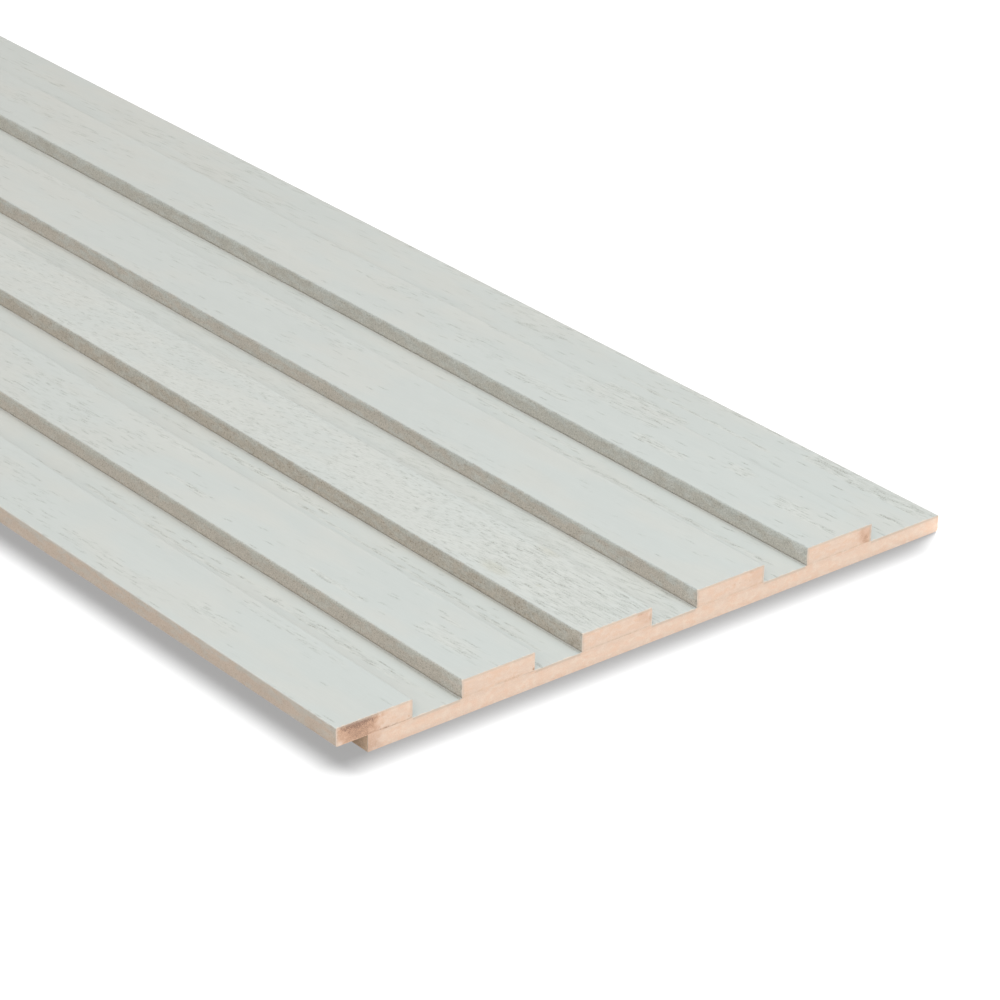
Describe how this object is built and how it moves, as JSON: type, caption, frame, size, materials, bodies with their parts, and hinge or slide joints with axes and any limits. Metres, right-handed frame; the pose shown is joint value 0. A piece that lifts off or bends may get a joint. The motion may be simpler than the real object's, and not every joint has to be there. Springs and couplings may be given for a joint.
{
  "type": "wood wall panel",
  "caption": "Slatted wood wall panel: raised painted slats glued along a thin base board, with a lap on one long edge and a tongue on the other so that panels join without a break.",
  "frame": {"origin": "under the middle of the panel, on its back, half way along and half way across", "axes": "+X across the panel from the lap to the tongue, +Y along its length, +Z out of its slatted face"},
  "size_m": [0.2524, 2.4, 0.0125],
  "materials": {
    "painted_base": "pale grey-green matt paint over an open-grained face, raw pale wood at the cut ends, long edges and back",
    "painted_slat": "pale grey-green matt paint over an open-grained face, thinner on the sides, raw pale wood at the cut ends"
  },
  "bodies": {
    "root": {"base_board": "painted_base", "lap_slat": "painted_slat", "slat_2": "painted_slat", "slat_3": "painted_slat", "slat_4": "painted_slat", "slat_5": "painted_slat"}
  },
  "joints": []
}
